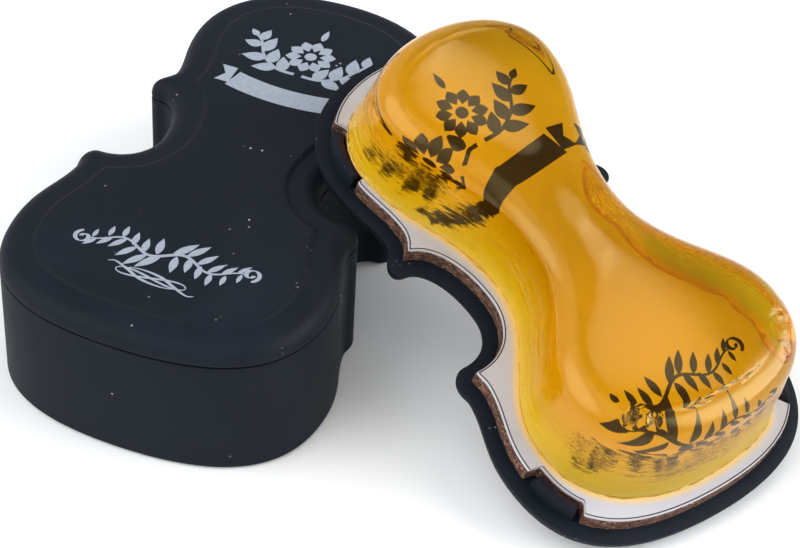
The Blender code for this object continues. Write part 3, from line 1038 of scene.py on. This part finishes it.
    def everything(self) -> Artwork:
        """The whole ornament."""
        art = Artwork()
        for part in (self.spray(), self.band(), self.garland(), self.flourish()):
            art.merge(part)
        return art


# -------------------------------------------------------------------------------------------- pieces
class Place(Enum):
    """Where a stack lies, with its body and the start of its pieces' names."""

    CLOSED = ("closed_lid", "boxed_", "box_lid")
    OPENED = ("opened_lid_stack", "", "opened_lid")

    @property
    def body(self) -> str:
        """The CAD body that the stack rides on."""
        return self.value[0]

    @property
    def prefix(self) -> str:
        """The start of the names of what the lid carries."""
        return self.value[1]

    @property
    def lid(self) -> str:
        """The lid's CAD node."""
        return self.value[2]


def install(piece: bpy.types.Object, body: str, pose: Matrix, node: str | None = None) -> None:
    """Puts a piece in place, makes it ride, and logs it.

    Args:
        piece: The piece.
        body: The CAD body that it rides on.
        pose: Its place.
        node: The CAD node that it replaces, if any.
    """
    Shaper.keep_places(piece.data)
    piece.data.transform(pose)
    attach(piece, body)
    if node:
        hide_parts(node)
    LOG.info("%s: %d faces, rides on %s", piece.name, len(piece.data.polygons), body)


@dataclass
class DeepBody:
    """The deep lower moulding of the closed box."""

    sizes: StackSizes
    outline: Outline
    base_radius: float = 0.0008
    rim_ease: float = 0.00012

    def build(self) -> None:
        """Makes the moulding."""
        top, wall, floor = self.sizes.body_height, self.sizes.body_wall, self.sizes.body_floor
        radius, ease = self.base_radius, self.rim_ease
        stations = Shaper.rounded((radius, radius), radius, -90, 0, 5)
        stations += Shaper.rounded((ease, top - ease), ease, 0, 90, 3)
        stations += Shaper.rounded((wall - ease, top - ease), ease, 90, 180, 2)
        stations += Shaper.rounded((wall + radius, floor + radius), radius, 0, -90, 4)
        rings = [Shaper.ring(self.outline.inset(inset), height) for inset, height in stations]
        points, faces = Shaper.loft(rings)
        clean = {"stain": np.zeros(len(points))}
        piece = Shaper.piece("deep_body", points, faces, SoftTouchPlastic(), clean)
        install(piece, "box", Matrix.Identity(4), "box_body")


@dataclass
class LidMoulding:
    """A lid with its rounded edge, raised panel, shallow pocket, snap tabs and printed ornament.

    Each point of a tab's profile has its share of the tab's thickness and of its height, and its stain.
    """

    sizes: StackSizes
    outline: Outline
    flange_ease: float = 0.00012
    ink_lift: float = 0.000012
    tab_root: float = -4.6e-7
    tab_end_height: float = 0.78
    tab_end_length: float = 0.7
    tab_point_step: float = 0.45
    tab_profile: tuple[Triple, ...] = (
        (0.0, 0.0, 0.0), (0.0, 0.84, 0.0), (0.06, 0.95, 0.0), (0.2, 1.0, 0.0), (0.78, 1.0, 0.4),
        (0.92, 0.95, 0.9), (1.0, 0.82, 1.0), (1.0, 0.0, 0.7))

    def shell(self) -> tuple[np.ndarray, Faces]:
        """The lid without its tabs, from the panel round the edge to the pocket."""
        s = self.sizes
        shelf, slope = -s.lid_thickness, s.panel_slope
        stations = [(s.panel_inset + slope * 1.3, s.face)]
        for share in np.linspace(0.0, 1.0, 8):
            stations.append((s.panel_inset + slope * (1 - share), s.face + s.panel_rise * eased(share)))
        stations.append(((s.panel_inset + s.edge_radius) / 2, shelf))
        radius = s.edge_radius
        stations += Shaper.rounded((radius, shelf + radius), radius, -90, 0, 9)
        ease = self.flange_ease
        stations += Shaper.rounded((ease, -ease), ease, 0, 90, 2)
        stations += [(s.body_wall, 0.0), (s.pocket_inset, 0.0), (s.pocket_inset, -s.pocket_depth)]
        rings = [Shaper.ring(self.outline.inset(inset), height) for inset, height in stations]
        return Shaper.loft(rings)

    def tab(self, low: float, high: float, side: int) -> tuple[np.ndarray, Faces, np.ndarray]:
        """One snap tab with rounded top edges and ends.

        Args:
            low: The lowest y of its span.
            high: The highest y of its span.
            side: 1 for the right side, -1 for the left.

        Returns:
            Its points, its faces, and the stain at each point.
        """
        s = self.sizes
        points, normals = self.outline.points, self.outline.normals()
        inside = (points[:, 1] >= low) & (points[:, 1] <= high) & (points[:, 0] * side > 0)
        chosen = np.flatnonzero(inside)
        sections = []
        for order, index in enumerate(chosen):
            from_end = min(order, len(chosen) - 1 - order) * self.tab_point_step
            steep = max(0.0, 1.0 - from_end / self.tab_end_length)
            lift = math.sqrt(max(0.0, 1.0 - steep ** 2)) * (1.0 - self.tab_end_height) + self.tab_end_height
            for across, up, _ in self.tab_profile:
                spot = points[index] + normals[index] * (s.body_wall + GAP + across * s.tab_thickness)
                sections.append((spot[0], spot[1], up * s.tab_height * lift if up > 0 else self.tab_root))
        count = len(self.tab_profile)
        faces = []
        for row in range(len(chosen) - 1):
            for index in range(count - 1):
                at = row * count + index
                faces.append((at, at + 1, at + count + 1, at + count))
        faces.append(tuple(range(count)))
        last = (len(chosen) - 1) * count
        faces.append(tuple(range(last, last + count))[::-1])
        stain = np.tile([stain_and_painted_glow for _, _, stain_and_painted_glow in self.tab_profile], len(chosen))
        return np.array(sections), faces, stain

    def build(self, place: Place, pose: Matrix) -> None:
        """Makes the lid and its print.

        Args:
            place: Which of the two lids it is.
            pose: The stack's place.
        """
        points, faces = self.shell()
        stain = [np.zeros(len(points))]
        for low, high in self.sizes.tab_spans:
            for side in (1, -1):
                more, more_faces, more_stain = self.tab(low, high, side)
                faces += [tuple(index + len(points) for index in face) for face in more_faces]
                points = np.vstack([points, more])
                stain.append(more_stain)
        name, finish = "closed_lid_moulding", SoftTouchPlastic()
        if place is Place.OPENED:
            name = "opened_lid_moulding"
            finish = SoftTouchPlastic(name="dusty_soft_touch_plastic", dust_amount=0.05)
        piece = Shaper.piece(name, points, faces, finish, {"stain": np.concatenate(stain)})
        install(piece, place.body, pose, place.lid)
        art = LidOrnament().everything()
        plan = np.array(art.points) * (-1.0, 1.0)
        sheet = Shaper.ring(plan, self.sizes.face - self.ink_lift - np.array(art.lifts))
        faces = art.facing(plan, False)
        ink = Shaper.piece(name.replace("moulding", "print"), sheet, faces, PrintInk(), closed=False)
        install(ink, place.body, pose)


@dataclass
class CardPad:
    """The fibre board and the white card on it, notched beside the snap tabs, with the card's print.

    A layer of the board has its height and its margin. A ring of the painted light under the cake has its
    distance inside the cake's foot and the strength of its painted glow. The keyline lies between its two
    margins.
    """

    sizes: StackSizes
    outline: Outline
    torn: float = 0.00009
    tear_scale: float = 1400.0
    board_layers: tuple[tuple[float, float], ...] = (
        (0.00002, 0.00005), (0.0006, 0.0), (0.0012, 0.00004), (0.0020, 0.00002))
    card_edge: float = 0.00005
    print_lift: float = 0.000012
    painted_light_lift: float = 0.000005
    # painted light: each ring sets how strongly the yellow glow is painted on the card round the cake's
    # foot
    painted_light_rings: tuple[tuple[float, float], ...] = (
        (0.0003, 1.0), (0.0001, 0.85), (-0.0005, 0.5), (-0.0013, 0.0))
    keyline: tuple[float, float] = (0.00013, 0.00030)

    def loop(self, margin: float, roughened: float = 0.0) -> np.ndarray:
        """The outline of the board or the card.

        Args:
            margin: How far it stays inside the board's place.
            roughened: How far its edge is torn in and out.

        Returns:
            The loop.
        """
        s = self.sizes
        inset = s.body_wall + GAP + margin
        notch = inset + s.tab_thickness + GAP
        y = self.outline.points[:, 1]
        outside = np.min([np.maximum(low - y, y - high) for low, high in s.tab_spans], axis=0)
        share = eased(np.clip((s.notch_clearance + s.notch_ramp - outside) / s.notch_ramp, 0.0, 1.0))
        scale = self.tear_scale
        wobble = np.array([noise.noise(Vector((x * scale, y_ * scale, 3.1)))
                           for x, y_ in self.outline.points])
        tear = roughened * np.clip(wobble + 0.5, 0, 1.5)
        return self.outline.inset(inset + (notch - inset) * share + tear)

    def build(self, place: Place, pose: Matrix) -> None:
        """Makes the board, the card, the painted light on the card under the cake, and the card's print.

        Args:
            place: Which of the two stacks it belongs to.
            pose: The stack's place.
        """
        s = self.sizes
        layers = []
        for height, margin in self.board_layers:
            layers.append(Shaper.ring(self.loop(margin, self.torn), height))
        points, faces = Shaper.loft(layers)
        board = Shaper.piece(place.prefix + "fibre_board", points, faces, FibreBoard(), sharp=60.0)
        install(board, place.body, pose, place.prefix + "backing_board")
        edge = self.loop(s.card_margin)
        inner = self.loop(s.card_margin + self.card_edge)
        layers = [Shaper.ring(edge, s.board_top - 0.00001), Shaper.ring(edge, s.card_top - 0.00006),
                  Shaper.ring(inner, s.card_top)]
        points, faces = Shaper.loft(layers)
        card = Shaper.piece(place.prefix + "white_card", points, faces, CoatedCard())
        install(card, place.body, pose, place.prefix + "printed_card")
        self.paint_light_under_cake(place, pose)
        self.printed(place, pose)

    def paint_light_under_cake(self, place: Place, pose: Matrix) -> None:
        """Paints light on the card under the cake: the card there is drawn bright, with a painted yellow
        glow round the foot.

        Args:
            place: Which of the two stacks it belongs to.
            pose: The stack's place.
        """
        cake = CastCake(self.sizes, CaseSizes())
        outline = cake.outline(0.001)
        hollow = cake.hollow(outline.points)
        reach = np.clip((0.020 - outline.points[:, 1]) / 0.004, 0.0, 1.0)
        # painted light: the rings below carry where the card is painted bright and where the yellow glow is
        # painted
        rings, glow = [], []
        for offset, strength in self.painted_light_rings:
            loop = outline.inset(hollow + (offset * reach if offset < 0 else offset))
            rings.append(Shaper.ring(loop, self.sizes.card_top + self.painted_light_lift))
            glow.append(np.full(len(loop), strength))
        points, faces = Shaper.loft(rings, capped=False)
        faces = [face[::-1] for face in faces] + [tuple(range(len(rings[0])))]
        if place is Place.OPENED:
            points = cake.turned(points)
        painted_light_sheet = Shaper.piece(place.prefix + "card_primer", points, faces, PaintedLightUnderCake(),
                              {"glow": np.concatenate(glow)}, closed=False)
        install(painted_light_sheet, place.body, pose)

    def printed(self, place: Place, pose: Matrix) -> None:
        """Makes the dark print of the card: its keyline and the ornament.

        Args:
            place: Which of the two stacks it belongs to.
            pose: The stack's place.
        """
        s = self.sizes
        art = LidOrnament().everything()
        plan = np.array(art.points)
        faces = art.facing(plan, True)
        outer, inner = (self.loop(s.card_margin + margin) for margin in self.keyline)
        count, first = len(outer), len(plan)
        plan = np.vstack([plan, outer, inner])
        faces += Shaper.strip(first, first + count, count)
        lifts = np.concatenate([art.lifts, np.zeros(2 * count)])
        sheet = Shaper.ring(plan, s.card_top + self.print_lift + lifts)
        ink = PrintInk(name="dark_ink", tone=(0.022, 0.017, 0.014), roughness=0.55)
        piece = Shaper.piece(place.prefix + "card_print", sheet, faces, ink, closed=False)
        install(piece, place.body, pose)


@dataclass
class CastCake:
    """The cast rosin cake: leaning rippled sides, round shoulders, and a top that dips over the waist.

    A chip has its middle and its radius. The waves of the side run from long to short.
    """

    sizes: StackSizes
    case: CaseSizes
    lower_end: float = -0.0357
    upper_end: float = 0.0359
    lower: tuple[float, float] = (0.0194, -0.0220)
    waist: tuple[float, float] = (0.0092, 0.0012)
    upper: tuple[float, float] = (0.0156, 0.0242)
    top: float = 0.01675
    askew: float = math.radians(1.7)
    draft: float = 0.0014
    shoulder: float = 0.0038
    shoulder_lower: float = 0.0042
    crown: float = 0.0006
    saddle: float = 0.0009
    saddle_reach: float = 0.0085
    spacing: float = 0.00034
    columns: int = 44
    undercut: float = 0.0042
    sunk: float = 0.00003
    chips: tuple[tuple[Triple, float], ...] = (
        ((-0.0132, -0.0272, 0.0150), 0.0017), ((-0.0112, -0.0290, 0.0152), 0.0012),
        ((0.0140, -0.0256, 0.0152), 0.0019), ((0.0164, -0.0226, 0.0140), 0.0013),
        ((0.0118, -0.0292, 0.0148), 0.0011))
    chip_depth: float = 0.00045
    seen_steps: int = 58
    hidden_steps: int = 16
    hidden_spacing: float = 3.0
    ragged_foot: Triple = (0.00045, 0.00022, 0.00008)
    waves: Triple = (0.00018, 0.00008, 0.000030)
    hollow_height: float = 0.55

    def outline(self, spacing: float) -> Outline:
        """The outline of the cake's foot, with its points this far apart."""
        bends = (Bend(self.lower, (0, 90), (0.60, 0.30)),
                 Bend(self.waist, (90, 90), (0.40, 0.42)),
                 Bend(self.upper, (90, 90), (0.42, 0.38)),
                 Bend((0.0, self.upper_end), (90, 180), (0.36, 0.46)))
        return Outline(self.lower_end, bends, spacing)

    def dip(self, y: np.ndarray) -> np.ndarray:
        """How far the top lies lower over the waist."""
        return self.saddle * np.exp(-((y - self.waist[1]) / self.saddle_reach) ** 2)

    def hollow(self, points: np.ndarray) -> np.ndarray:
        """How far the foot lies inside the wall above it, on the right side of the waist and lower bout."""
        low = np.clip((15.0 - points[:, 1] / MILLIMETRE) / 10.0, 0.0, 1.0) * 0.55
        low = low + np.clip((-2.0 - points[:, 1] / MILLIMETRE) / 8.0, 0.0, 1.0) * 0.45
        right = np.clip(points[:, 0] / 0.006, 0.0, 1.0) * np.clip((points[:, 1] + 0.0335) / 0.006, 0.0, 1.0)
        wavy = np.array([1.0 + 0.25 * noise.noise(Vector((x * 260, y * 260, 5.5))) for x, y in points])
        return self.undercut * low * right * wavy

    def shoulder_radius(self, y: np.ndarray) -> np.ndarray:
        """The shoulder's radius, which grows into the lower bout."""
        share = eased(np.clip((-0.006 - y) / 0.014, 0.0, 1.0))
        return self.shoulder + (self.shoulder_lower - self.shoulder) * share

    def ripple(self, points: np.ndarray) -> np.ndarray:
        """Flow ripples along the side: long level waves that break up.

        Args:
            points: Points on the side.

        Returns:
            How far each point lies inwards, in metres.
        """
        depth = []
        for x, y, z in points:
            swell = noise.noise(Vector((x * 110, y * 110, z * 400)))
            wave = noise.noise(Vector((x * 240 + 3, y * 240, z * 1500 + swell)))
            finer = noise.noise(Vector((x * 480 + 7, y * 480, z * 3100)))
            depth.append(self.waves[0] * swell + self.waves[1] * wave + self.waves[2] * finer)
        return np.array(depth)

    def wall(self, outline: Outline, radius: np.ndarray,
             steps: int) -> tuple[list[np.ndarray], list[np.ndarray]]:
        """The side, from the ragged foot up to where the shoulder starts.

        Args:
            outline: The outline of the foot.
            radius: The shoulder's radius at each point of the outline.
            steps: How many rows of faces it has.

        Returns:
            Its rings, and how strongly each of their points shows the ripples.
        """
        normals = outline.normals()
        foot = self.sizes.card_top - self.sunk
        side_top = self.top - self.crown - radius
        hollow = self.hollow(outline.points)
        rings, side = [], []
        for step in range(steps + 1):
            share = step / steps
            lean = self.draft * share ** 0.8
            loop = outline.inset(lean + hollow * max(0.0, 1.0 - share / self.hollow_height) ** 2)
            ragged = 0.0
            if step < len(self.ragged_foot):
                ragged = np.array([noise.noise(Vector((x * 900, y * 900, step * 0.6))) for x, y in loop])
                ragged *= self.ragged_foot[step]
            points = Shaper.ring(loop, foot + (side_top - foot) * share)
            depth = self.ripple(points) * min(1.0, 3 * (1 - share)) + ragged
            points[:, :2] += normals * depth[:, None]
            rings.append(points)
            side.append(np.full(len(loop), min(1.0, 4 * (1 - share))))
        return rings, side

    def build(self, place: Place, pose: Matrix) -> None:
        """Makes the cake.

        Args:
            place: Which of the two stacks it belongs to.
            pose: The stack's place.
        """
        seen = place is Place.OPENED
        outline = self.outline(self.spacing if seen else self.spacing * self.hidden_spacing)
        radius = self.shoulder_radius(outline.points[:, 1])
        rings, side = self.wall(outline, radius, self.seen_steps if seen else self.hidden_steps)
        side_top = self.top - self.crown - radius
        for turn in np.radians(np.linspace(0, 84, 15)[1:]):
            loop = outline.inset(self.draft + radius * (1 - math.cos(turn)))
            height = side_top + radius * math.sin(turn) - self.dip(loop[:, 1]) * math.sin(turn)
            rings.append(Shaper.ring(loop, height))
        points, faces = Shaper.loft(rings, capped=False)
        faces.append(tuple(range(len(outline.points)))[::-1])
        points, faces = self.cap(points, faces, rings[-1], outline.half_count)
        chip = np.zeros(len(points))
        if seen:
            points, chip = self.chipped(points)
            points = self.turned(points)
        rippled = np.zeros(len(points))
        rippled[:sum(len(row) for row in side)] = np.concatenate(side)
        values = {"side": rippled, "chip": chip}
        piece = Shaper.piece(place.prefix + "cast_cake", points, faces, ClearRosin(), values, sharp=60.0)
        install(piece, place.body, pose, place.prefix + "rosin_cake")

    def chipped(self, points: np.ndarray) -> tuple[np.ndarray, np.ndarray]:
        """The points with small chips knocked out of the shoulders.

        Args:
            points: The cake's points.

        Returns:
            The points, and how deep in a chip each one lies, from 0 to 1.
        """
        depth = np.zeros(len(points))
        for centre, radius in self.chips:
            away = np.linalg.norm(points - np.array(centre), axis=1)
            near = np.clip(1.0 - away / radius, 0.0, 1.0)
            for index in np.flatnonzero(near):
                facet = noise.cell(Vector(points[index] * 1900)) * 0.5
                facet += noise.noise(Vector(points[index] * 1300))
                depth[index] = max(depth[index], min(1.0, near[index] * (1.2 + 1.6 * facet)))
        sunk = points.copy()
        sunk[:, 2] -= depth * self.chip_depth
        return sunk, depth

    def turned(self, points: np.ndarray) -> np.ndarray:
        """The points, turned a little on the card about the middle of the upper bout."""
        middle = np.array([0.0, self.upper[1], 0.0])
        turn = np.array(Matrix.Rotation(self.askew, 3, "Z"))
        return (points - middle) @ turn.T + middle

    def cap(self, points: np.ndarray, faces: Faces, rim: np.ndarray,
            half: int) -> tuple[np.ndarray, Faces]:
        """Closes the top with rows of faces from side to side.

        Args:
            points: The points so far, which end with the rim.
            faces: The faces so far.
            rim: The last ring.
            half: How many points lie between its two ends on the axis.

        Returns:
            All points and all faces.
        """
        count = len(rim)
        first = len(points) - count
        grid = []
        extra = []
        for index in range(half + 1):
            right, left = first + index, first + (count - index) % count
            if index in (0, half):
                grid.append([right] * (self.columns + 1))
                continue
            row = [right]
            start, end = rim[index], rim[(count - index) % count]
            for column in range(1, self.columns):
                share = column / self.columns
                spot = start * (1 - share) + end * share
                t = 1.0 - abs(1.0 - 2.0 * share)
                taper = min(1.0, abs(start[0]) / 0.006)
                spot[2] += self.crown * (1.0 - (1.0 - t) ** 2) * taper
                row.append(len(points) + len(extra))
                extra.append(spot)
            row.append(left)
            grid.append(row)
        for low, high in zip(grid, grid[1:]):
            for column in range(self.columns):
                around = (low[column], high[column], high[column + 1], low[column + 1])
                face = tuple(dict.fromkeys(around))
                if len(face) > 2:
                    faces.append(face)
        return np.vstack([points, np.array(extra)]), faces


# -------------------------------------------------------------------------------------------- studio
@dataclass(frozen=True)
class Patch:
    """A soft patch of sky: where it lies, the cosines of its edge and core, and how strong it is."""

    direction: Triple
    edge: float
    core: float
    strength: float

    def light(self, recipe: Recipe) -> Reading:
        """Its light."""
        return recipe.lobe(self.direction, self.edge, self.core) * self.strength


@dataclass
class Studio:
    """The pale floor, the soft lights and the camera."""

    lens: float = 110.2
    sensor: float = 36.0
    camera_at: Triple = (0.10842, -0.24160, 0.23636)
    look: Triple = (-19.24, -41.77, 3.65)
    floor_half: float = 3.0
    tint: Colour = (0.97, 0.985, 1.0)
    ambient: float = 0.78
    key: Patch = Patch((0.85, 0.30, 0.38), 0.80, 0.97, 6.0)
    side: Patch = Patch((-0.62, -0.55, 0.55), 0.80, 0.97, 2.6)
    fill: Patch = Patch((-0.30, -0.30, 0.90), 0.55, 0.95, 0.60)
    ceiling: Patch = Patch((0.20, 0.43, 0.88), 0.72, 0.93, 0.72)
    window: Patch = Patch((0.20, 0.43, 0.88), 0.982, 0.998, 1.8)
    far_window: Patch = Patch((0.03, 0.50, 0.86), 0.988, 0.998, 2.4)

    def camera(self) -> None:
        """Makes the camera."""
        heading, pitch, roll = (math.radians(angle) for angle in self.look)
        ahead = Vector((math.sin(heading) * math.cos(pitch), math.cos(heading) * math.cos(pitch),
                        math.sin(pitch)))
        right = ahead.cross(Vector((0, 0, 1))).normalized()
        up = right.cross(ahead)
        level = right * math.cos(roll) + up * math.sin(roll)
        raised = -right * math.sin(roll) + up * math.cos(roll)
        data = bpy.data.cameras.new("camera")
        data.lens = self.lens
        data.sensor_width = self.sensor
        data.clip_start, data.clip_end = 0.01, 20.0
        made = bpy.data.objects.new("camera", data)
        spin = Matrix((level, raised, -ahead)).transposed().to_4x4()
        made.matrix_world = Matrix.Translation(self.camera_at) @ spin
        bpy.context.scene.collection.objects.link(made)
        bpy.context.scene.camera = made

    def sky(self) -> None:
        """Makes the soft light: an even room with broad patches, and a dim ceiling with two windows."""
        recipe = Recipe.for_world("studio")
        light = self.key.light(recipe) + self.side.light(recipe) + self.fill.light(recipe)
        light = (light + self.ambient) * (1.0 - self.ceiling.light(recipe))
        light = light + self.window.light(recipe) + self.far_window.light(recipe)
        bpy.context.scene.world = recipe.finish(Color=self.tint, Strength=light)

    def build(self) -> None:
        """Makes the floor, the sky and the camera."""
        data = bpy.data.meshes.new("floor")
        half = self.floor_half
        data.from_pydata([(-half, -half, 0), (half, -half, 0), (half, half, 0), (-half, half, 0)], [],
                         [(0, 1, 2, 3)])
        data.materials.append(StudioPaper().material())
        Shaper.keep_places(data)
        floor = bpy.data.objects.new("floor", data)
        bpy.context.scene.collection.objects.link(floor)
        self.sky()
        scene = bpy.context.scene
        scene.view_settings.view_transform = "Standard"
        scene.view_settings.look = "None"
        self.camera()


@dataclass
class RosinSet:
    """The whole set: the closed box and the opened lid with its cake."""

    sizes: StackSizes = field(default_factory=StackSizes)
    case: CaseSizes = field(default_factory=CaseSizes)
    opened_heading: float = math.radians(58.2)
    opened_plan: tuple[float, float] = (0.0449, -0.0002)

    def closed_pose(self) -> Matrix:
        """The stack's place on top of the deep body, turned over."""
        return Matrix.Translation((0, 0, self.sizes.body_height + GAP)) @ Matrix.Rotation(math.pi, 4, "Y")

    def opened_pose(self, shell: np.ndarray) -> Matrix:
        """The stack's leaning place, taken from the lift's axis and the CAD lid's lowest point.

        Args:
            shell: The lid's points in the stack frame.

        Returns:
            The place.
        """
        lifts = {joint["name"]: joint["axis"] for joint in frame["joints"]}
        axis = lifts["opened_lid_lift"]
        up = Vector(axis).normalized()
        across = Vector((math.cos(self.opened_heading), math.sin(self.opened_heading), 0.0))
        across = (across - up * across.dot(up)).normalized()
        turn = Matrix((across, up.cross(across), up)).transposed()
        lowest = (shell @ np.array(turn).T)[:, 2].min()
        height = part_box("opened_lid")[0].z - lowest
        return Matrix.Translation((*self.opened_plan, height)) @ turn.to_4x4()

    def build(self) -> None:
        """Makes every piece."""
        outline = self.case.outline()
        lid = LidMoulding(self.sizes, outline)
        poses = {Place.CLOSED: self.closed_pose(), Place.OPENED: self.opened_pose(lid.shell()[0])}
        DeepBody(self.sizes, outline).build()
        for place, pose in poses.items():
            lid.build(place, pose)
            CardPad(self.sizes, outline).build(place, pose)
            CastCake(self.sizes, self.case).build(place, pose)


def main() -> None:
    """Builds the set and the studio."""
    logging.basicConfig(level=logging.INFO, format="%(name)s: %(message)s")
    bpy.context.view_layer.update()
    RosinSet().build()
    Studio().build()


if __name__ == "__main__":
    main()
